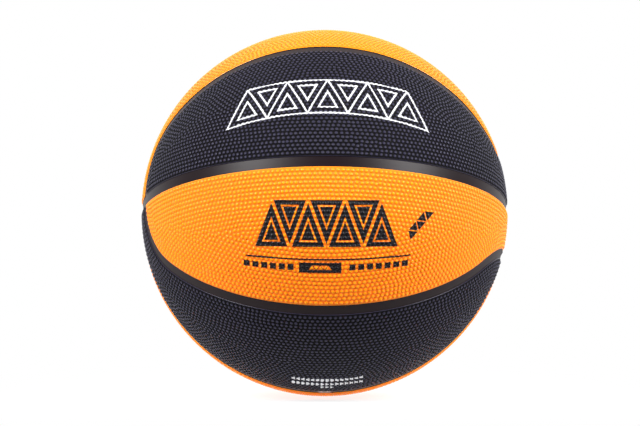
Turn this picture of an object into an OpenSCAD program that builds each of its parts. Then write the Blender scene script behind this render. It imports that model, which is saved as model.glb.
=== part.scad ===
// Basketball with a moulded rubber cover in eight panels.
// The ball's centre is the origin. Its two seam poles lie on X and its valve faces -Z.
// A seam's place is its angle about X, from the front (-Y) towards the top (+Z).

/* [Ball] */
// Diameter over the panels of a size 7 ball, pumped up
ball_d = 243; // [150:0.5:260]

/* [Wall layers] */
// Thickness of the cover panels
cover_t = 1.8; // [1.5:0.1:3]
// Thickness of the rubber carcass under the cover
carcass_t = 0.4; // [0.3:0.1:1.5]
// Thickness of the wound nylon thread
winding_t = 0.3; // [0.2:0.1:1]
// Thickness of the bladder's wall
bladder_t = 0.6; // [0.4:0.1:2]
// Thickness of the rubber cement round the panels and strips
cement_t = 0.02; // [0.01:0.01:0.05]

/* [Channels] */
// Width of a channel strip between two panels
channel_w = 6.35; // [6.1:0.05:9]
// Depth of a channel's floor below the panels
channel_depth = 1.2; // [0.6:0.1:1.3]
// Angle from a seam pole to the middle of the curved seam's end
bend_at = 43.5; // [42:0.5:48]

/* [Valve] */
// Diameter of the housing's neck, whose end shows in the channel
neck_d = 9; // [8.4:0.1:12]
// Height of the neck's end above the channel's floor
neck_rise = 0.3; // [0:0.05:0.5]
// Bevel round the neck's end
neck_bevel = 0.4; // [0.2:0.05:0.8]
// Diameter of the plug's face
face_d = 5.8; // [5.2:0.1:6.4]
// Diameter of the plug's shank
shank_d = 4.6; // [4.2:0.1:5]
// Diameter of the plug's holding collar
collar_d = 6.6; // [6.2:0.1:7.4]
// Thickness of the holding collar
collar_t = 1.6; // [1:0.1:2.5]
// Depth of the collar's top below the plug's face
collar_at = 3.4; // [3:0.1:4]
// Diameter of the needle's guide hole
needle_hole_d = 2.2; // [2.1:0.05:2.6]
// Depth of the guide hole below the plug's face
needle_hole_depth = 10; // [7:0.5:11]
// Diameter of the hole's countersunk mouth
mouth_d = 3.4; // [3:0.1:4]
// Depth of the countersunk mouth
mouth_depth = 0.8; // [0.4:0.1:1.2]
// Diameter of the housing's flange on the bladder
flange_d = 26; // [20:0.5:36]
// Thickness of the flange
flange_t = 0.9; // [0.6:0.1:1.6]
// Width of the flange's tapered rim
flange_taper = 1.4; // [0.6:0.1:2]
// Diameter of the housing's body at its inner end
body_d = 9; // [8.6:0.1:11]
// Length of the housing's body inside the bladder
body_len = 12; // [11:0.5:16]
// Gap round the plug
plug_gap = 0.05; // [0.02:0.01:0.1]

/* [Hidden] */
$fn = 180;

// How far a cut runs past what it cuts
overrun = 2;
// Length by which one seam's cut runs on beside the next, and by which the outer one starts late
seam_lap = 6;
seam_late = 1.2;
// Seams that meet or cross are of unlike rank. A rank up adds this to half the width, so that
// their walls cross at an angle.
rank_width = 0.08;
equator_rank = 1;
meridian_rank = 0;
side_rank = 0;
near_end_rank = -1;
far_end_rank = 1;

orange_rubber = [0.98, 0.52, 0.08];
black_rubber = [0.07, 0.07, 0.08];
strip_rubber = [0.04, 0.04, 0.045];
butyl_rubber = [0.16, 0.16, 0.17];
carcass_rubber = [0.24, 0.22, 0.2];
nylon = [0.86, 0.84, 0.78];
plug_rubber = [0.72, 0.7, 0.66];

// Radii of the layers, from the outside in
ball_r = ball_d / 2;
cover_in_r = ball_r - cover_t;
carcass_r = cover_in_r - cement_t;
carcass_in_r = carcass_r - carcass_t;
winding_in_r = carcass_in_r - winding_t;
bladder_in_r = winding_in_r - bladder_t;
channel_r = ball_r - channel_depth;
reach = ball_r + overrun;

// The curved seam runs along four great circles, this far round from the equator seam, and its ends
// are circles that touch two of them
seam_turn = 45;
half_channel = channel_w / 2;
half_neck_opening = neck_d / 2 + cement_t;
end_radius = asin(sin(bend_at) * sin(seam_turn));
end_from_pole = acos(cos(bend_at) / cos(end_radius));
end_half_sweep = asin(sin(end_from_pole) / sin(bend_at));
side_half_sweep = 90 - end_from_pole;
// Half a channel is room for the line that tells two panels apart
zone_radius = end_radius + asin(half_channel / ball_d);

function polar(r, a) = [r * cos(a), r * sin(a)];

// The turn about the ball's centre, or about an end circle's axis, that runs a length along a seam
function side_turn(length) = 2 * asin(length / ball_d);
function end_turn(length) = 2 * asin(length / ball_d / sin(end_radius));

// Cross-sections of a seam: x runs out from the ball's centre and y across the seam

// Half the width of a seam's channel, from one panel's wall to the other's
function half_width(rank) = half_channel + rank * rank_width;

// A band with plain walls, as thick as the cover and a little more
module band_section(half) {
    low = cover_in_r - overrun;
    translate([low, -half])
        square([reach - low, 2 * half]);
}

module channel_section(rank) {
    band_section(half_width(rank));
}

module strip_section(rank) {
    band_section(half_width(rank) - cement_t);
}

// The child section swept about Z, at an angle from Z
module swept(from_axis, start, turn) {
    rotate([0, 0, start])
        rotate_extrude(angle = turn)
            rotate(90 - from_axis)
                children();
}

module equator_seam() {
    rotate([0, 0, 90])
        rotate_extrude()
            children();
}

module meridian_seam() {
    rotate([90, 180, 0])
        equator_seam()
            children();
}

// A seam along the great circle that lies at an angle about X, from and to angles from its middle
module side_seam(place, from, to) {
    rotate([-place, 0, 0])
        swept(90, from - 90, to - from)
            children();
}

// The circle at the -X end, from and to angles from the equator seam, which it crosses
module front_end_seam(from, to) {
    rotate([0, 0, 180 + bend_at])
        rotate([0, 90, 0])
            swept(end_radius, 270 - to, to - from)
                children();
}

// What lies at -X goes to +X, a quarter turn further round. This takes the seams into themselves.
module quarter_turn_on() {
    rotate([-90, 0, 0])
        mirror([1, 0, 0])
            children();
}

// Layers under the cover

module shell(outer_r, inner_r) {
    difference() {
        sphere(outer_r);
        sphere(inner_r);
    }
}

module layer(outer_r, inner_r) {
    difference() {
        shell(outer_r, inner_r);
        rotate([180, 0, 0])
            cylinder(h = reach, d = neck_d);
    }
}

module bladder() {
    color(butyl_rubber)
        layer(winding_in_r, bladder_in_r);
}

module nylon_winding() {
    color(nylon)
        layer(carcass_in_r, winding_in_r);
}

module carcass() {
    color(carcass_rubber)
        layer(carcass_r, carcass_in_r);
}

// Valve, drawn with its axis on +Z and then turned to -Z

body_end = bladder_in_r - body_len;
flange_rim = sqrt(pow(bladder_in_r, 2) - pow(flange_d / 2, 2));
flange_slope = flange_taper / flange_t;

module flange() {
    low = flange_rim - flange_t - overrun;
    high = bladder_in_r + overrun;
    intersection() {
        shell(bladder_in_r, bladder_in_r - flange_t);
        translate([0, 0, low])
            cylinder(
                h = high - low,
                r1 = flange_d / 2 - flange_slope * (flange_rim - low),
                r2 = flange_d / 2 + flange_slope * (high - flange_rim)
            );
    }
}

// The plug's outline, which the housing follows at a gap
module plug_form(gap) {
    collar_top = channel_r - collar_at;
    head_end = (collar_top + channel_r) / 2;
    translate([0, 0, body_end])
        cylinder(h = channel_r - body_end, d = shank_d + 2 * gap);
    translate([0, 0, collar_top - collar_t - gap])
        cylinder(h = collar_t + 2 * gap, d = collar_d + 2 * gap);
    translate([0, 0, head_end])
        cylinder(h = channel_r - head_end, d = face_d + 2 * gap);
}

// Neck, flange and body in one
module housing_form() {
    neck_low = bladder_in_r - flange_t;
    neck_top = channel_r + neck_rise;
    translate([0, 0, neck_low])
        cylinder(h = neck_top - neck_bevel - neck_low, d = neck_d);
    translate([0, 0, neck_top - neck_bevel])
        cylinder(h = neck_bevel, d1 = neck_d, d2 = neck_d - 2 * neck_bevel);
    flange();
    translate([0, 0, body_end])
        cylinder(h = body_len - flange_t / 2, d1 = body_d, d2 = neck_d);
}

module valve_housing() {
    color(butyl_rubber)
        rotate([180, 0, 0])
            difference() {
                housing_form();
                plug_form(plug_gap);
                translate([0, 0, body_end - overrun])
                    cylinder(h = 2 * overrun, d = shank_d + 2 * plug_gap);
                translate([0, 0, channel_r - overrun / 2])
                    cylinder(h = overrun, d = face_d + 2 * plug_gap);
            }
}

module valve_plug() {
    color(plug_rubber)
        rotate([180, 0, 0])
            difference() {
                plug_form(0);
                translate([0, 0, channel_r - needle_hole_depth])
                    cylinder(h = needle_hole_depth + overrun, d = needle_hole_d);
                translate([0, 0, channel_r - mouth_depth])
                    cylinder(h = mouth_depth, d1 = needle_hole_d, d2 = mouth_d);
            }
}

// Cover panels

// The space of the panel over the equator at the front: an eighth of the ball about X, less what
// lies outside the circle at -X, and with what lies outside the circle at +X

module front_quarter() {
    translate([-reach, -reach, 0])
        cube([2 * reach, reach, reach]);
}

module end_block() {
    translate([-reach, -reach, 0])
        cube([reach - ball_r * cos(end_from_pole), reach, reach]);
}

module end_cone() {
    rotate([0, 0, 180 + bend_at])
        rotate([0, 90, 0])
            cylinder(h = reach, r1 = 0, r2 = reach * tan(zone_radius));
}

module panel_zone() {
    difference() {
        intersection() {
            front_quarter();
            rotate([-seam_turn, 0, 0])
                translate([-reach, -2 * reach, -2 * reach])
                    cube([2 * reach, 4 * reach, 2 * reach]);
        }
        difference() {
            end_block();
            end_cone();
        }
    }
    difference() {
        mirror([1, 0, 0])
            end_block();
        quarter_turn_on()
            end_cone();
    }
}

// The first child, cut along the seams round this panel. The other children are the sections of
// the cuts, from a rank of -1 up. Seams that cross are cut in turn. Where the side seam meets an
// end, the cut that lies deeper in the panel starts late and the wider one runs on beside it.
module without_seams() {
    difference() {
        difference() {
            difference() {
                children(0);
                equator_seam()
                    children(2 + equator_rank);
            }
            meridian_seam()
                children(2 + meridian_rank);
        }
        front_end_seam(-end_turn(seam_lap), end_half_sweep - end_turn(seam_late))
            children(2 + near_end_rank);
        side_seam(
            seam_turn,
            -side_half_sweep - side_turn(seam_lap),
            side_half_sweep - side_turn(seam_late)
        )
            children(2 + side_rank);
        quarter_turn_on()
            front_end_seam(-end_half_sweep - end_turn(seam_lap), end_turn(seam_lap))
                children(2 + far_end_rank);
    }
}

module panel() {
    intersection() {
        without_seams() {
            rotate([0, 0, 90])
                shell(ball_r, cover_in_r);
            channel_section(-1);
            channel_section(0);
            channel_section(1);
        }
        panel_zone();
    }
}

module panel_by_valve() {
    difference() {
        quarter_turn_on()
            panel();
        cylinder(h = reach, r = half_neck_opening);
    }
}

module panel_upper_front() {
    color(black_rubber)
        panel();
}

module panel_upper_back() {
    color(orange_rubber)
        mirror([0, 1, 0])
            panel();
}

module panel_lower_front() {
    color(orange_rubber)
        mirror([0, 0, 1])
            panel();
}

module panel_lower_back() {
    color(black_rubber)
        rotate([180, 0, 0])
            panel();
}

module panel_top_back() {
    color(black_rubber)
        quarter_turn_on()
            panel();
}

module panel_top_front() {
    color(orange_rubber)
        mirror([0, 1, 0])
            quarter_turn_on()
                panel();
}

module panel_bottom_back() {
    color(orange_rubber)
        mirror([0, 0, 1])
            panel_by_valve();
}

module panel_bottom_front() {
    color(black_rubber)
        rotate([180, 0, 0])
            panel_by_valve();
}

// Channel strips, cut from a thin shell on the carcass

module strip_shell() {
    shell(channel_r, cover_in_r);
}

module strip_equator() {
    color(strip_rubber)
        intersection() {
            strip_shell();
            equator_seam()
                strip_section(equator_rank);
        }
}

// Half of the meridian strip, between the equator strip's walls
module strip_meridian_top() {
    color(strip_rubber)
        difference() {
            intersection() {
                rotate([90, 0, 0])
                    strip_shell();
                meridian_seam()
                    strip_section(meridian_rank);
                translate([-reach, -reach, 0])
                    cube([2 * reach, 2 * reach, reach]);
            }
            equator_seam()
                channel_section(equator_rank);
        }
}

// A quarter of the meridian strip, from the equator strip to the valve's neck
module meridian_quarter() {
    difference() {
        intersection() {
            rotate([90, 0, 0])
                strip_shell();
            meridian_seam()
                strip_section(meridian_rank);
            translate([-reach, -reach, -reach])
                cube([reach, 2 * reach, reach]);
        }
        equator_seam()
            channel_section(equator_rank);
        translate([0, 0, -reach])
            cylinder(h = 2 * overrun + cover_t, r = half_neck_opening);
    }
}

module strip_meridian_bottom_left() {
    color(strip_rubber)
        meridian_quarter();
}

module strip_meridian_bottom_right() {
    color(strip_rubber)
        mirror([1, 0, 0])
            meridian_quarter();
}

// A panel's space with plain walls, a cement's thickness wider all round and as thick as the cover
// with a little more
module panel_blank() {
    intersection() {
        without_seams() {
            rotate([0, 0, 90])
                shell(ball_r, cover_in_r - overrun / 2);
            strip_section(-1);
            strip_section(0);
            strip_section(1);
        }
        panel_zone();
    }
}

// A quarter of the curved strip: what the two panels of the front quarter leave between them
module curved_strip() {
    difference() {
        difference() {
            intersection() {
                rotate([0, 0, 90])
                    strip_shell();
                front_quarter();
            }
            panel_blank();
            mirror([0, 1, 0])
                quarter_turn_on()
                    panel_blank();
            equator_seam()
                channel_section(equator_rank);
        }
        meridian_seam()
            channel_section(meridian_rank);
    }
}

module strip_curved_upper_front() {
    color(strip_rubber)
        curved_strip();
}

module strip_curved_upper_back() {
    color(strip_rubber)
        mirror([0, 1, 0])
            curved_strip();
}

module strip_curved_lower_front() {
    color(strip_rubber)
        mirror([0, 0, 1])
            curved_strip();
}

module strip_curved_lower_back() {
    color(strip_rubber)
        rotate([180, 0, 0])
            curved_strip();
}

bladder();
valve_housing();
valve_plug();
nylon_winding();
carcass();
panel_upper_front();
panel_upper_back();
panel_lower_front();
panel_lower_back();
panel_top_front();
panel_top_back();
panel_bottom_front();
panel_bottom_back();
strip_equator();
strip_meridian_top();
strip_meridian_bottom_left();
strip_meridian_bottom_right();
strip_curved_upper_front();
strip_curved_upper_back();
strip_curved_lower_front();
strip_curved_lower_back();
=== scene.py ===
"""Basketball with a moulded rubber cover: pebbled orange and black panels, smooth black channels
and a needle valve in the lowest channel."""
import math

import bpy
import numpy as np
from mathutils import Matrix, Vector


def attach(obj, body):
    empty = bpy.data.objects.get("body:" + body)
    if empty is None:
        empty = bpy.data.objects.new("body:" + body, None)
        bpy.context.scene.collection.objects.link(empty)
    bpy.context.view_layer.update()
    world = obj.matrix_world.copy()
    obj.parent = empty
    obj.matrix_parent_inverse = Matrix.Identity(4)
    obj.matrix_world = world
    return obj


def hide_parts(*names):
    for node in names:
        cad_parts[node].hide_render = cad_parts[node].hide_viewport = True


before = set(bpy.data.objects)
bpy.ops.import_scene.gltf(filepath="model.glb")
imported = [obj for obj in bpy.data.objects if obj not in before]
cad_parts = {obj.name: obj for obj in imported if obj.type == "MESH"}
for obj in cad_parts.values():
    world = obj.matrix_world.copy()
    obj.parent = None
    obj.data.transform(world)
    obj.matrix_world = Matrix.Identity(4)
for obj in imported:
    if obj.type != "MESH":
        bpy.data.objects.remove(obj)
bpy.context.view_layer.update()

# Bladder: a closed balloon of butyl rubber that holds the air, moulded round its valve housing.
# It lies under every other layer, so only its own rubber is given here.

MM = 0.001
BUTYL_COLOUR = (0.022, 0.022, 0.025)


class Signal:
    """A shader socket that takes part in sums. Each sum adds its Math node."""

    def __init__(self, shading, socket):
        self.shading = shading
        self.socket = socket

    def math(self, operation, *others):
        sockets = dict(enumerate((self, *others)))
        return self.shading.add("ShaderNodeMath", {"operation": operation}, sockets)

    def __add__(self, other):
        return self.math("ADD", other)

    def __mul__(self, other):
        return self.math("MULTIPLY", other)

    def __sub__(self, other):
        return self.math("SUBTRACT", other)

    def __rsub__(self, other):
        return self.shading.add("ShaderNodeMath", {"operation": "SUBTRACT"}, {0: other, 1: self})

    def __truediv__(self, other):
        return self.math("DIVIDE", other)

    def __abs__(self):
        return self.math("ABSOLUTE")

    __radd__ = __add__
    __rmul__ = __mul__

    def most(self, other):
        return self.math("MAXIMUM", other)

    def least(self, other):
        return self.math("MINIMUM", other)

    def rise(self, low, high):
        """0 up to the low value, 1 from the high one, and a soft step between them."""
        return self.shading.add(
            "ShaderNodeMapRange",
            {"interpolation_type": "SMOOTHSTEP"},
            {"Value": self, "From Min": low, "From Max": high},
        )


class Shading:
    """A tree of shader nodes."""

    def __init__(self, tree):
        self.tree = tree

    def add(self, kind, settings, sockets, out=0):
        """Adds a node with these settings and these values or links of its sockets."""
        made = self.tree.nodes.new(kind)
        for name, value in settings.items():
            setattr(made, name, value)
        for place, value in sockets.items():
            if isinstance(value, Signal):
                self.tree.links.new(value.socket, made.inputs[place])
            else:
                made.inputs[place].default_value = value
        return Signal(self, made.outputs[out])


class Paint(Shading):
    """A procedural material. What is the same all over is set on its shader's own sockets."""

    def __init__(self, name, colour, roughness, specular=0.5):
        self.material = bpy.data.materials.new(name)
        self.material.use_nodes = True
        super().__init__(self.material.node_tree)
        self.shader = self.tree.nodes["Principled BSDF"]
        self.shader.inputs["Base Color"].default_value = (*colour, 1.0)
        self.shader.inputs["Roughness"].default_value = roughness
        self.shader.inputs["Specular IOR Level"].default_value = specular
        self.spot = self.add("ShaderNodeTexCoord", {}, {}, out="Object")

    def feed(self, socket, value):
        self.tree.links.new(value.socket, self.shader.inputs[socket])

    def grain(self, scale, strength, depth, detail=2.0):
        """Fine unevenness of the surface."""
        noise = self.add("ShaderNodeTexNoise", {}, {"Vector": self.spot, "Scale": scale, "Detail": detail})
        self.raise_by(noise, strength, depth)

    def raise_by(self, height, strength, depth):
        bump = self.add("ShaderNodeBump", {}, {"Strength": strength, "Distance": depth, "Height": height})
        self.feed("Normal", bump)

    def between(self, mask, first, second):
        """A colour between two, which may be colours or signals."""
        ends = [end if isinstance(end, Signal) else (*end, 1.0) for end in (first, second)]
        return self.add(
            "ShaderNodeMix", {"data_type": "RGBA"}, {0: mask, 6: ends[0], 7: ends[1]}, out=2
        )


def dress(thing, paint):
    """Gives a piece its paint."""
    thing.data.materials.clear()
    thing.data.materials.append(paint.material)


butyl = Paint("butyl rubber", BUTYL_COLOUR, roughness=0.6)
butyl.grain(scale=1400.0, strength=0.2, depth=0.05 * MM)
dress(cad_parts["bladder"], butyl)

# Winding: nylon thread, wound round the bladder in all directions and stuck down, which keeps the
# ball round. It is one thin layer here, with the thread's ridges in its surface.

THREAD_COLOUR = (0.71, 0.67, 0.57)
THREAD_PITCH = 0.9 * MM
RIDGE_HEIGHT = 0.15 * MM
WAVES_A_METRE = 20.0

nylon = Paint("nylon thread", THREAD_COLOUR, roughness=0.8)
turns = nylon.add(
    "ShaderNodeTexWave",
    {"wave_type": "RINGS", "rings_direction": "SPHERICAL"},
    {"Vector": nylon.spot, "Scale": 1.0 / THREAD_PITCH / WAVES_A_METRE, "Distortion": 6.0, "Detail": 2.0},
    out="Fac",
)
nylon.raise_by(turns, strength=0.6, depth=RIDGE_HEIGHT)
dress(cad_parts["nylon_winding"], nylon)

# Carcass: a thin layer of dark rubber, moulded over the winding. It carries the cover, whose panels
# and channel strips are cemented to it.

CARCASS_COLOUR = (0.048, 0.04, 0.033)

carcass_rubber = Paint("carcass rubber", CARCASS_COLOUR, roughness=0.75)
carcass_rubber.grain(scale=900.0, strength=0.3, depth=0.1 * MM)
dress(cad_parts["carcass"], carcass_rubber)

# Valve: a housing of butyl rubber bonded to the bladder, whose neck comes up through the layers into
# the lowest channel, and a plug of soft light rubber pushed into it, with the needle's guide hole.

NECK_COLOUR = (0.3, 0.22, 0.21)
PLUG_COLOUR = (0.62, 0.48, 0.46)

neck_rubber = Paint("valve neck rubber", NECK_COLOUR, roughness=0.6)
neck_rubber.grain(scale=1400.0, strength=0.2, depth=0.05 * MM)
dress(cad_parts["valve_housing"], neck_rubber)

plug_rubber = Paint("plug rubber", PLUG_COLOUR, roughness=0.55)
plug_rubber.grain(scale=2500.0, strength=0.25, depth=0.05 * MM)
dress(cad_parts["valve_plug"], plug_rubber)

# Channels: strips of smooth black rubber cemented to the carcass between the panels, in two rings that
# cross and one closed curved seam. One skin is cut from a sphere. The hole for the valve's neck isn't
# cut: the skin runs through the neck and closes the needle's hole just under the plug's face.

BALL_R = 121.5 * MM
CHANNEL_DEPTH = 1.2 * MM
CHANNEL_R = BALL_R - CHANNEL_DEPTH
HALF_CHANNEL = 3.175 * MM
UNDER_PANEL = 2.0 * MM
CHANNEL_STEPS = 360
NECK_R = 4.52 * MM
SEAM_TURN = math.radians(45)
BEND_AT = math.radians(43.5)
CHANNEL_COLOUR = (0.0095, 0.0042, 0.0058)


def unit(*v):
    v = np.asarray(v, dtype=float)
    return v / np.linalg.norm(v, axis=-1, keepdims=True)


side_normal = unit(0, math.sin(SEAM_TURN), math.cos(SEAM_TURN))
near_axis = unit(-math.cos(BEND_AT), -math.sin(BEND_AT), 0)
far_axis = unit(math.cos(BEND_AT), 0, math.sin(BEND_AT))
end_radius = math.asin(math.sin(BEND_AT) * math.sin(SEAM_TURN))
near_junction = unit(*np.cross(near_axis, side_normal))
far_junction = unit(*np.cross(far_axis, side_normal))


def seam_distances(p):
    """How far unit points lie inside the panel from each seam's middle, in metres along the ball.
    The panel lies over the equator at the front. Its end at -X is round, and its end at +X goes
    round the end of the next panel."""
    beyond_near = p @ near_junction * np.sign(near_junction[0]) < 0
    beyond_far = p @ far_junction * np.sign(far_junction[0]) > 0
    side = -np.arcsin(np.clip(p @ side_normal, -1, 1))
    near = end_radius - np.arccos(np.clip(p @ near_axis, -1, 1))
    far = np.arccos(np.clip(p @ far_axis, -1, 1)) - end_radius
    curved = np.where(beyond_near, near, np.where(beyond_far, far, side))
    return BALL_R * np.stack([np.arcsin(p[:, 2]), np.arcsin(-p[:, 1]), curved], axis=1)


def select_nothing():
    for thing in bpy.context.selected_objects:
        thing.select_set(False)
    bpy.context.view_layer.objects.active = None


def edit(work):
    """Runs work on the active mesh in edit mode, with all of it selected."""
    bpy.ops.object.mode_set(mode="EDIT")
    bpy.ops.mesh.select_all(action="SELECT")
    work()
    bpy.ops.object.mode_set(mode="OBJECT")


def delete_faces(mesh, chosen):
    """Deletes the faces whose middle, as a unit point, the function chooses."""
    centres = np.empty(len(mesh.polygons) * 3)
    mesh.polygons.foreach_get("center", centres)
    unwanted = chosen(unit(*centres.reshape(-1, 3)))
    bpy.ops.object.mode_set(mode="EDIT")
    bpy.ops.mesh.select_mode(type="FACE")
    bpy.ops.mesh.select_all(action="DESELECT")
    bpy.ops.object.mode_set(mode="OBJECT")
    mesh.polygons.foreach_set("select", unwanted)
    bpy.ops.object.mode_set(mode="EDIT")
    bpy.ops.mesh.delete(type="FACE")
    bpy.ops.mesh.select_mode(type="VERT")
    bpy.ops.object.mode_set(mode="OBJECT")


def open_for_neck():
    """Should cut the hole for the neck, but cuts nothing: all points past this plane lie within the
    tool's default tolerance of 0.1 mm, and it takes them as being on the plane."""
    bpy.ops.mesh.bisect(
        plane_co=(0, 0, -math.sqrt(CHANNEL_R**2 - NECK_R**2)), plane_no=(0, 0, -1), clear_outer=True
    )


def under_panels(p):
    """Which unit points lie deep under a panel. The seams lie alike in each quarter of the ball, so
    points are judged in the upper front one."""
    folded = np.stack([p[:, 0], -np.abs(p[:, 1]), np.abs(p[:, 2])], axis=1)
    return np.abs(seam_distances(folded)).min(axis=1) > HALF_CHANNEL + UNDER_PANEL


select_nothing()
bpy.ops.mesh.primitive_uv_sphere_add(
    segments=CHANNEL_STEPS,
    ring_count=CHANNEL_STEPS // 2,
    radius=CHANNEL_R,
    rotation=(0, math.pi / 2, 0),
)
channels = bpy.context.active_object
bpy.ops.object.transform_apply(location=False, rotation=True, scale=False)
channels.name = "channel_skin"
edit(open_for_neck)
delete_faces(channels.data, under_panels)
bpy.ops.object.shade_smooth()

channel_rubber = Paint("channel rubber", CHANNEL_COLOUR, roughness=0.42, specular=0.18)
channel_rubber.grain(scale=700.0, strength=0.12, depth=0.1 * MM, detail=3.0)
dress(channels, channel_rubber)
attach(channels, "root")
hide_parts(*[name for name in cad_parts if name.startswith("strip_")])

# Cover panels: eight pieces of pebbled rubber, orange and black in turn, moulded with a rounded edge
# and cemented to the carcass. Each is a skin cut from a sphere, with 2,566 pebbles on it. One serves
# in six places, and one in the two by the valve, where pebbles give way to the neck but the edge doesn't.

EDGE_R = 0.8 * MM
EDGE_STEPS = (30, 60, 90)
MITRE_TIE = 0.1 * MM
PANEL_STEPS = 200
SHORTEST_STEP = 0.15 * MM

PEBBLE_PITCH = 3.0 * MM
PEBBLE_R = 1.35 * MM
PEBBLE_HEIGHT = 0.6 * MM
PEBBLE_SUNK = 0.06 * MM
PEBBLE_SIDES = 10
SHOULDERS = ((0.23, 0.54), (0.33, 0.32))
TIP = 0.14
MARGIN = 1.5 * MM
SKIN_R = BALL_R - PEBBLE_HEIGHT

FINE_POINTS = 400000
ROW_PITCH = PEBBLE_PITCH * math.sqrt(3) / 2
ROW_TOLERANCE = 0.4 * MM
TOO_NEAR = 0.85 * PEBBLE_PITCH
TOO_FAR = 1.5 * PEBBLE_PITCH
SETTLING = 40
REACH = 1.25 * PEBBLE_PITCH / BALL_R
FIRMNESS = 0.12

valve_axis = np.array([0.0, -1.0, 0.0])


def depths(p, by_valve):
    """How far unit points lie inside the panel from each border, the valve's neck included. The
    neck's border is taken half a channel inside its wall, as a seam's is."""
    found = seam_distances(p)
    if by_valve:
        from_valve = BALL_R * np.arccos(np.clip(p @ valve_axis, -1, 1)) - NECK_R + HALF_CHANNEL
        found = np.concatenate([found, from_valve[:, None]], axis=1)
    return found


def downhill(p, by_valve, tie=0.0):
    """Unit directions that lead out of the panel over the nearest border, or over all that are
    as near as the tie allows, so that corners are mitred."""
    step = 1e-5
    start = depths(p, by_valve)
    close = start <= start.min(axis=1, keepdims=True) + tie
    way = np.zeros_like(p)
    for axis in range(3):
        moved = p.copy()
        moved[:, axis] += step
        slope = (depths(unit(*moved), by_valve) - start) / step / BALL_R
        way[:, axis] = -np.where(close, slope, 0).sum(axis=1)
    return way


def points_of(mesh):
    found = np.empty(len(mesh.vertices) * 3)
    mesh.vertices.foreach_get("co", found)
    return found.reshape(-1, 3)


def cut_at(normal, angle_from_plane, clear=False):
    """Cuts the skin along a circle of the ball."""
    bpy.ops.mesh.select_all(action="SELECT")
    bpy.ops.mesh.bisect(
        plane_co=tuple(SKIN_R * math.sin(angle_from_plane) * np.asarray(normal)),
        plane_no=tuple(normal),
        clear_inner=clear,
    )


def panel_skin(by_valve):
    """A sphere cut along the panel's borders, with its rim selected."""
    select_nothing()
    bpy.ops.mesh.primitive_uv_sphere_add(
        segments=PANEL_STEPS,
        ring_count=PANEL_STEPS // 2,
        radius=SKIN_R,
        rotation=(0, math.pi / 2, 0),
    )
    skin = bpy.context.active_object
    bpy.ops.object.transform_apply(location=False, rotation=True, scale=False)
    rim = HALF_CHANNEL + EDGE_R
    rim_turn = rim / BALL_R

    def cuts():
        cut_at((0, 0, 1), rim_turn, clear=True)
        cut_at((0, -1, 0), rim_turn, clear=True)
        cut_at(side_normal, -rim_turn)
        cut_at(near_axis, math.pi / 2 - end_radius + rim_turn)
        cut_at(far_axis, math.pi / 2 - end_radius - rim_turn)
        if by_valve:
            # This cuts nothing either: the rim's points past it are within the tool's tolerance.
            cut_at(valve_axis, math.pi / 2 - (NECK_R + EDGE_R) / BALL_R)

    def find_rim():
        bpy.ops.mesh.remove_doubles(threshold=SHORTEST_STEP)
        bpy.ops.mesh.select_all(action="DESELECT")
        bpy.ops.mesh.select_non_manifold(
            extend=False, use_wire=False, use_boundary=True, use_multi_face=False, use_non_contiguous=False
        )

    edit(cuts)
    delete_faces(skin.data, lambda p: depths(p, by_valve).min(axis=1) < rim)
    edit(find_rim)
    return skin


def roll_edge(skin, by_valve):
    """Extrudes the skin's rim in steps, round the edge and then down the channel's wall."""
    mesh = skin.data
    rim = np.array([corner.select for corner in mesh.vertices])
    start = unit(*points_of(mesh)[rim])
    away = downhill(start, by_valve, tie=MITRE_TIE)
    round_edge = [(turn, 0) for turn in EDGE_STEPS]
    for turn, drop in (*round_edge, (EDGE_STEPS[-1], CHANNEL_DEPTH - EDGE_R)):
        turn = math.radians(turn)
        bpy.ops.object.mode_set(mode="EDIT")
        bpy.ops.mesh.extrude_edges_move()
        bpy.ops.object.mode_set(mode="OBJECT")
        rim = np.array([corner.select for corner in mesh.vertices])
        places = points_of(mesh)
        height = SKIN_R - EDGE_R * (1 - math.cos(turn)) - drop
        places[rim] = unit(*(start + away * EDGE_R * math.sin(turn) / BALL_R)) * height
        mesh.vertices.foreach_set("co", places.ravel())
        mesh.update()


def pebble_places(by_valve):
    """Unit points about a pitch apart. Rows follow the panel's edge, one inside the other, and then
    all of them push each other apart until they lie evenly."""
    least = HALF_CHANNEL + EDGE_R + MARGIN
    number = np.arange(FINE_POINTS) + 0.5
    round_it = number * math.pi * (3 - math.sqrt(5))
    along = 1 - 2 * number / FINE_POINTS
    wide = np.sqrt(1 - along**2)
    fine = np.stack([along, wide * np.cos(round_it), wide * np.sin(round_it)], axis=1)
    fine = fine[(fine[:, 2] > 0) & (fine[:, 1] < 0)]
    inside = depths(fine, by_valve).min(axis=1)
    picked = []
    level = least
    while level < inside.max():
        left = fine[abs(inside - level) < ROW_TOLERANCE]
        while len(left):
            here = left[0]
            while here is not None:
                picked.append(here)
                gap = BALL_R * np.linalg.norm(left - here, axis=1)
                clear = gap > TOO_NEAR
                left, gap = left[clear], gap[clear]
                follows = len(gap) > 0 and gap.min() < TOO_FAR
                here = left[abs(gap - PEBBLE_PITCH).argmin()] if follows else None
        level += ROW_PITCH
    p = np.array(picked)
    for _ in range(SETTLING):
        one, two = np.nonzero(p @ p.T > math.cos(REACH))
        apart = one != two
        one, two = one[apart], two[apart]
        gap = p[one] - p[two]
        length = np.linalg.norm(gap, axis=1)[:, None]
        push = gap / length * (1 - length / REACH) * REACH * FIRMNESS
        for axis in range(3):
            p[:, axis] += np.bincount(one, push[:, axis], minlength=len(p))
        p = unit(*p)
        short = least - depths(p, by_valve).min(axis=1)
        out = short > 0
        p[out] -= downhill(p[out], by_valve) * short[out, None] / BALL_R
        p = unit(*p)
    return p


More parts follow.
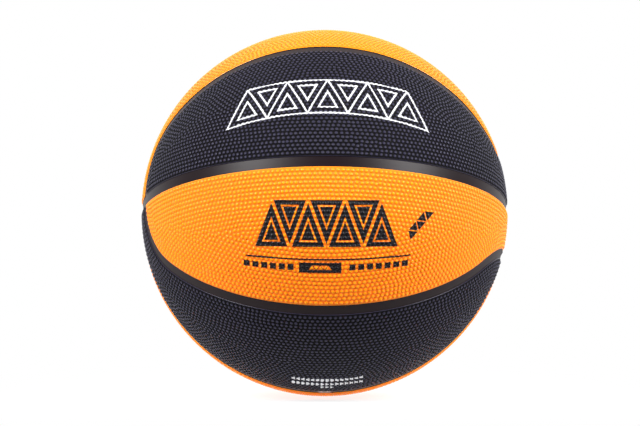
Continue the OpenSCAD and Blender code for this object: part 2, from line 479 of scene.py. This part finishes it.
def pebble():
    """One low dome: a disc that is inset and raised twice and drawn to a point, sunk into the skin."""
    rise = PEBBLE_HEIGHT + PEBBLE_SUNK
    select_nothing()
    bpy.ops.mesh.primitive_circle_add(
        vertices=PEBBLE_SIDES, radius=PEBBLE_R, fill_type="NGON", location=(0, 0, -PEBBLE_SUNK)
    )
    dome = bpy.context.active_object
    bpy.ops.object.transform_apply(location=True, rotation=False, scale=False)

    def shape():
        bpy.ops.mesh.select_mode(type="FACE")
        for narrower, higher in SHOULDERS:
            bpy.ops.mesh.inset(thickness=narrower * PEBBLE_R, depth=0)
            bpy.ops.transform.translate(value=(0, 0, higher * rise))
        bpy.ops.mesh.poke(offset=TIP * rise)

    edit(shape)
    places = points_of(dome.data)
    faces = [tuple(face.vertices) for face in dome.data.polygons]
    bpy.data.objects.remove(dome)
    return places, faces


dome_places, dome_faces = pebble()


def pebbled(skin, by_valve):
    """The skin's points and faces with a pebble at each place."""
    centres = pebble_places(by_valve)
    along = unit(*np.cross(np.broadcast_to([0.0, 0, 1], centres.shape), centres))
    across = np.cross(centres, along)
    domes = (
        centres[:, None] * (SKIN_R + dome_places[None, :, 2:3])
        + along[:, None] * dome_places[None, :, 0:1]
        + across[:, None] * dome_places[None, :, 1:2]
    )
    skin_places = points_of(skin.data)
    faces = [tuple(face.vertices) for face in skin.data.polygons]
    for i in range(len(centres)):
        first = len(skin_places) + i * len(dome_places)
        faces += [tuple(first + corner for corner in face) for face in dome_faces]
    bpy.data.objects.remove(skin)
    return np.concatenate([skin_places, domes.reshape(-1, 3)]), faces


bases = {}
for by_valve in (False, True):
    skin = panel_skin(by_valve)
    roll_edge(skin, by_valve)
    bases[by_valve] = pebbled(skin, by_valve)

# Rubber of the cover: a deep colour between the pebbles, which is painted shade, and a lighter one on
# their smoother tops and on the panels' rounded brows, which is a painted highlight, with channel rubber
# low on their walls. Ink is printed on the finished ball and lies on pebbles and valleys alike.

# The low colours are painted shade in the valleys; the top colours are painted highlights on the pebbles'
# tops and the panels' brows.
ORANGE_LOW = (1.0, 0.2, 0.001)
ORANGE_TOP = (1.0, 0.36, 0.004)
BLACK_LOW = (0.0015, 0.001, 0.0022)
BLACK_TOP = (0.037, 0.0345, 0.064)
INK_BLACK = (0.007, 0.006, 0.0085)
INK_WHITE = (0.72, 0.72, 0.75)
INK_EDGE = 0.2 * MM
ROUGH_LOW = 0.7
ROUGH_TOP = 0.24
BROW_FROM = 0.06 * MM
BROW_TO = 0.13 * MM
BROW_LOW = 0.3 * MM
BROW_END = 0.5 * MM
POLISH_FROM = 0.2 * PEBBLE_HEIGHT
POLISH_TO = 0.75 * PEBBLE_HEIGHT
HIGHLIGHT_FROM = 0.3 * PEBBLE_HEIGHT
WALL_FROM = 0.25 * MM
WALL_TO = 0.4 * MM
PAD_FROM = 0.6 * BALL_R
PAD_TO = 0.65 * BALL_R
PITCHES_OFF = 20


class CoverRubber(Paint):
    """Pebbled rubber with ink on it."""

    def __init__(self, name, low, top, specular):
        super().__init__(name, top, ROUGH_TOP, specular)
        self.grain(scale=1600.0, strength=0.1, depth=0.05 * MM)
        out = self.add("ShaderNodeVectorMath", {"operation": "LENGTH"}, {0: self.spot}, out="Value")
        height = out - SKIN_R
        drop = SKIN_R - out
        brow = drop.rise(BROW_FROM, BROW_TO).least(1 - drop.rise(BROW_LOW, BROW_END))
        polished = height.rise(POLISH_FROM, POLISH_TO).most(brow)
        self.feed("Roughness", polished * (ROUGH_TOP - ROUGH_LOW) + ROUGH_LOW)
        # The lighter top colour on the pebbles' tops and the brows is a painted highlight, and the darker
        # low colour between them is painted shade.
        painted_highlight = height.rise(HIGHLIGHT_FROM, PEBBLE_HEIGHT).most(brow)
        walls = (out - CHANNEL_R).rise(WALL_FROM, WALL_TO)
        self.colour = self.between(walls, CHANNEL_COLOUR, self.between(painted_highlight, low, top))
        self.feed("Base Color", self.colour)

    def print(self, ink, mask):
        self.colour = self.between(mask, self.colour, ink)
        self.feed("Base Color", self.colour)


class Pad:
    """A flat printing pad that meets the ball at an angle about X from the front. A place on it is
    given along the pad and up it, from its middle, and it may lean. Marks that repeat are counted
    from some pitches off to the left, where no print is."""

    def __init__(self, paint, angle, middle=0.0, lean=0.0):
        parts = paint.add("ShaderNodeSeparateXYZ", {}, {0: paint.spot}).socket.node
        x, y, z = [Signal(paint, parts.outputs[axis]) for axis in "XYZ"]
        angle, lean = math.radians(angle), math.radians(lean)
        side = x - middle
        up = y * math.sin(angle) + z * math.cos(angle)
        self.along = side * math.cos(lean) + up * math.sin(lean)
        self.up = up * math.cos(lean) - side * math.sin(lean)
        self.front = (z * math.sin(angle) - y * math.cos(angle)).rise(PAD_FROM, PAD_TO)

    def pressed(self, depth):
        """Ink where the depth inside a form is above 0, on the pad's side of the ball alone."""
        return depth.rise(-INK_EDGE, INK_EDGE) * self.front

    def bar(self, middle, half_length, height, half_width):
        """Depth inside a straight bar."""
        ends = half_length - abs(self.along - middle)
        return ends.least(half_width - abs(self.up - height))

    def row(self, pitch):
        """Distance along from the middle of the nearest of a row of marks."""
        far_off = self.along + (PITCHES_OFF + 0.5) * pitch
        return abs(far_off.math("MODULO", pitch) - pitch / 2)

    def triangles(self, pitch, half_height, count, middle=0.0):
        """Depth inside the nearest of a band of triangles, which point up and down in turn, and
        depth inside the whole band, whose ends slant."""
        steep = 4 * half_height / pitch
        slant = math.hypot(1, steep)
        along = self.along - middle
        far_off = along + (PITCHES_OFF + count / 2) * pitch
        from_apex = abs(far_off.math("MODULO", pitch) - pitch / 2)
        side = abs(half_height - from_apex * steep - self.up) / slant
        level = half_height - abs(self.up)
        end = ((count * pitch / 2 - abs(along)) * steep - (self.up + half_height)) / slant
        return side.least(level), end.least(level)


orange_rubber = CoverRubber("orange cover rubber", ORANGE_LOW, ORANGE_TOP, specular=0.26)
black_rubber = CoverRubber("black cover rubber", BLACK_LOW, BLACK_TOP, specular=0.12)

# White ink on the upper black panel: a band of outlined triangles, each with a smaller one in it,
# across the middle of the panel.

BAND_PITCH = 25.0 * MM
BAND_HALF_HEIGHT = 13.2 * MM
BAND_LINE = 1.1 * MM
BAND_INSET = 4.3 * MM

pad = Pad(black_rubber, angle=21.8, middle=1.0 * MM)
inside, band = pad.triangles(BAND_PITCH, BAND_HALF_HEIGHT, count=5)
outline = (BAND_LINE / 2 - inside).least(band + BAND_LINE / 2)
inner = (BAND_LINE / 2 - abs(inside - BAND_INSET)).least(band)
black_rubber.print(INK_WHITE, pad.pressed(outline.most(inner)))

# White ink by the valve: three rows of dashes on the lower black panel, just in front of the needle
# hole. The last row has three dashes alone.

NOTE_PITCH = 3.1 * MM
NOTE_HALF_DASH = 1.05 * MM
NOTE_ROWS = (
    {"height": 4.8 * MM, "dashes": 15, "half_width": 1.6 * MM},
    {"height": -1.8 * MM, "dashes": 15, "half_width": 1.6 * MM},
    {"height": -7.6 * MM, "dashes": 3, "half_width": 1.1 * MM},
)

pad = Pad(black_rubber, angle=-79.5, middle=1.5 * MM)
dash = NOTE_HALF_DASH - pad.row(NOTE_PITCH)
for row in NOTE_ROWS:
    half_length = row["dashes"] / 2 * NOTE_PITCH
    line = pad.bar(middle=0.0, half_length=half_length, height=row["height"], half_width=row["half_width"])
    black_rubber.print(INK_WHITE, pad.pressed(line.least(dash)))

# Black ink on the middle orange panel: a bold band of triangles with a small leaning one beside it,
# a thin rule, and under it dashes on both sides of a plate with a band left bare in it.

BOLD_PITCH = 22.5 * MM
BOLD_HALF_HEIGHT = 15.2 * MM
BOLD_GAP = 0.9 * MM
BOLD_INSET = 4.4 * MM
BOLD_HALF_LINE = 0.5 * MM
LEANING_GAP = 0.3 * MM
DASH_PITCH = 5.4 * MM
HALF_DASH = 1.9 * MM
PLATE_MIDDLE = -3.5 * MM
PLATE_GAP = 0.2 * MM

pad = Pad(orange_rubber, angle=-18.3, middle=0.3 * MM)
inside, band = pad.triangles(BOLD_PITCH, BOLD_HALF_HEIGHT, count=4)
bare = BOLD_HALF_LINE - abs(inside - BOLD_INSET)
orange_rubber.print(INK_BLACK, pad.pressed((inside - BOLD_GAP).least(band).least(0 - bare)))

pad = Pad(orange_rubber, angle=-18.6, middle=57.5 * MM, lean=48.0)
inside, band = pad.triangles(pitch=7.8 * MM, half_height=2.9 * MM, count=3)
orange_rubber.print(INK_BLACK, pad.pressed((inside - LEANING_GAP).least(band)))

pad = Pad(orange_rubber, angle=-28.8)
rule = pad.bar(middle=1.5 * MM, half_length=50.5 * MM, height=0.0, half_width=0.55 * MM)
orange_rubber.print(INK_BLACK, pad.pressed(rule))

pad = Pad(orange_rubber, angle=-31.3)
plate = pad.bar(PLATE_MIDDLE, half_length=13.0 * MM, height=0.0, half_width=3.3 * MM)
inside, band = pad.triangles(pitch=5.0 * MM, half_height=1.6 * MM, count=3, middle=PLATE_MIDDLE)
plate = plate.least(0 - (inside - PLATE_GAP).least(band))
left = pad.bar(-6.5 * DASH_PITCH, half_length=3 * DASH_PITCH, height=0.0, half_width=HALF_DASH)
right = pad.bar(6 * DASH_PITCH, half_length=3.5 * DASH_PITCH, height=0.0, half_width=HALF_DASH)
dashes = left.most(right).least(HALF_DASH - pad.row(DASH_PITCH))
orange_rubber.print(INK_BLACK, pad.pressed(plate.most(dashes)))

# The eight panels: each is the one over the equator at the front, or the one made for the valve,
# turned or mirrored to its place on the ball and given its rubber, orange or black.

KEEP = np.eye(3)
BACK = np.diag([1.0, -1, 1])
DOWN = np.diag([1.0, 1, -1])
ROUND = np.array([[-1.0, 0, 0], [0, 0, 1], [0, -1, 0]])

for name, turned, by_valve, paint, slot in (
    ("panel_upper_front", KEEP, False, black_rubber, "cover_black"),
    ("panel_upper_back", BACK, False, orange_rubber, "cover_orange"),
    ("panel_lower_front", DOWN, False, orange_rubber, "cover_orange"),
    ("panel_lower_back", BACK @ DOWN, False, black_rubber, "cover_black"),
    ("panel_top_back", ROUND, False, black_rubber, "cover_black"),
    ("panel_top_front", BACK @ ROUND, False, orange_rubber, "cover_orange"),
    ("panel_bottom_back", DOWN @ ROUND, True, orange_rubber, "cover_orange"),
    ("panel_bottom_front", BACK @ DOWN @ ROUND, True, black_rubber, "cover_black"),
):
    places, faces = bases[by_valve]
    if np.linalg.det(turned) < 0:
        faces = [face[::-1] for face in faces]
    mesh = bpy.data.meshes.new("pebbled_" + name)
    mesh.from_pydata(places @ turned.T, [], faces)
    mesh.shade_smooth()
    panel = bpy.data.objects.new("pebbled_" + name, mesh)
    bpy.context.collection.objects.link(panel)
    dress(panel, paint)
    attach(panel, "root")
    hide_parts(name)

# Floor: a plain white sheet that ends just in front of the ball, which lies on it turned by 15 degrees.
# It lets some light through from below, and the camera sees it turn to plain white round the ball's
# shadow. From below it is clear, so that such a view looks through it.

TILT = math.radians(15.225)
FLOOR_SIDE = 6.0
FLOOR_FRONT = 0.155
FLOOR_CLEAR = 0.2 * MM
FLOOR_COLOUR = (0.75, 0.75, 0.75)
SHADOW_SHARE = 0.6
SHADOW_FROM = 0.06
SHADOW_TO = 0.3
LET_THROUGH = 0.3
WHITE = (1.0, 1.0, 1.0, 1.0)


def in_room(side, toward, up):
    """A place in the level room, in the ball's own frame: sideways, towards the camera and up."""
    return (
        side,
        -toward * math.cos(TILT) - up * math.sin(TILT),
        up * math.cos(TILT) - toward * math.sin(TILT),
    )


middle = in_room(0, FLOOR_FRONT - FLOOR_SIDE / 2, -BALL_R - FLOOR_CLEAR)
select_nothing()
bpy.ops.mesh.primitive_plane_add(size=FLOOR_SIDE, location=middle, rotation=(TILT, 0, 0))
floor = bpy.context.active_object
bpy.ops.object.transform_apply(location=True, rotation=True, scale=False)
floor.name = "floor"
sheet = Paint("white floor", FLOOR_COLOUR, roughness=0.9, specular=0.0)
camera_ray = sheet.add("ShaderNodeLightPath", {}, {}, out="Is Camera Ray")
far_off = sheet.add("ShaderNodeVectorMath", {"operation": "LENGTH"}, {0: sheet.spot}, out="Value")
plain = far_off.rise(SHADOW_FROM, SHADOW_TO) * SHADOW_SHARE + (1 - SHADOW_SHARE)
lit = Signal(sheet, sheet.shader.outputs[0])
glow = sheet.add("ShaderNodeBsdfTranslucent", {}, {"Color": WHITE})
lit = sheet.add("ShaderNodeMixShader", {}, {0: LET_THROUGH, 1: lit, 2: glow})
white = sheet.add("ShaderNodeEmission", {}, {"Color": WHITE})
seen = sheet.add("ShaderNodeMixShader", {}, {0: camera_ray * plain, 1: lit, 2: white})
below = sheet.add("ShaderNodeNewGeometry", {}, {}, out="Backfacing")
nothing = sheet.add("ShaderNodeBsdfTransparent", {}, {})
one_sided = sheet.add("ShaderNodeMixShader", {}, {0: below, 1: seen, 2: nothing})
sheet.tree.links.new(one_sided.socket, sheet.tree.nodes["Material Output"].inputs["Surface"])
floor.data.materials.append(sheet.material)

# Light: a plain world that is white behind the ball, as a studio's backdrop, and dim in front of it,
# two large soft lamps, and a small one under the sheet for the ball's lowest rim. The camera sees all
# of the world white.

DIM = 0.05
BACKDROP = 1.35
BACKDROP_WAY = (0, -0.97, 0.25)
BACKDROP_FROM = 0.0
BACKDROP_TO = 0.7
LAMPS = (
    {"name": "left lamp", "way": (-0.62, 0.54, 0.48), "away": 1.6, "size": 0.8, "power": 37.0},
    {"name": "right lamp", "way": (0.70, 0.46, 0.46), "away": 1.6, "size": 0.8, "power": 37.0},
    {"name": "lamp under the sheet", "way": (0.0, -0.1, -0.3), "away": 0.32, "size": 0.2, "power": 1.2},
)

world = bpy.data.worlds.new("plain light")
world.use_nodes = True
bpy.context.scene.world = world
sky = Shading(world.node_tree)
way = sky.add("ShaderNodeTexCoord", {}, {}, out="Generated")
behind = sky.add(
    "ShaderNodeVectorMath",
    {"operation": "DOT_PRODUCT"},
    {0: way, 1: in_room(*BACKDROP_WAY)},
    out="Value",
)
level = behind.rise(BACKDROP_FROM, BACKDROP_TO) * (BACKDROP - DIM) + DIM
backdrop = sky.add("ShaderNodeBackground", {}, {"Color": WHITE, "Strength": level})
white = sky.add("ShaderNodeBackground", {}, {"Color": WHITE, "Strength": 1.0})
camera_ray = sky.add("ShaderNodeLightPath", {}, {}, out="Is Camera Ray")
either = sky.add("ShaderNodeMixShader", {}, {0: camera_ray, 1: backdrop, 2: white})
sky.tree.links.new(either.socket, sky.tree.nodes["World Output"].inputs["Surface"])

for wanted in LAMPS:
    place = wanted["away"] * Vector(in_room(*wanted["way"])).normalized()
    lamp_data = bpy.data.lights.new(wanted["name"], "AREA")
    lamp_data.shape = "DISK"
    lamp_data.size = wanted["size"]
    lamp_data.energy = wanted["power"]
    lamp = bpy.data.objects.new(wanted["name"], lamp_data)
    lamp.visible_camera = False
    lamp.location = place
    lamp.rotation_euler = (-place).to_track_quat("-Z", "Y").to_euler()
    bpy.context.collection.objects.link(lamp)

# Camera: level with the ball's middle and about six of its diameters away, with the ball a little to
# the right of the picture's middle.

CAMERA_AWAY = 11.5 * BALL_R
CAMERA_TURN = math.radians(-0.45)
CAMERA_ROLL = math.radians(0.135)
IMAGE_W = 640
BALL_IN_IMAGE_R = 183.25
BALL_RIGHT_OF_MIDDLE = 4.59
SENSOR_W = 36.0

camera_data = bpy.data.cameras.new("camera")
camera = bpy.data.objects.new("camera", camera_data)
bpy.context.collection.objects.link(camera)
bpy.context.scene.camera = camera
camera_data.sensor_width = SENSOR_W
away = CAMERA_AWAY / BALL_R
camera_data.lens = BALL_IN_IMAGE_R * math.sqrt(away**2 - 1) * SENSOR_W / IMAGE_W
camera_data.shift_x = -BALL_RIGHT_OF_MIDDLE / IMAGE_W
camera_data.clip_start = 0.05
camera_data.clip_end = 50
back = Vector(in_room(math.sin(CAMERA_TURN), math.cos(CAMERA_TURN), 0))
level_right = Vector(in_room(math.cos(CAMERA_TURN), -math.sin(CAMERA_TURN), 0))
right = level_right * math.cos(CAMERA_ROLL) + back.cross(level_right) * math.sin(CAMERA_ROLL)
camera.location = CAMERA_AWAY * back
camera.rotation_euler = Matrix((right, back.cross(right), back)).transposed().to_euler()

bpy.context.scene.view_settings.view_transform = "Standard"
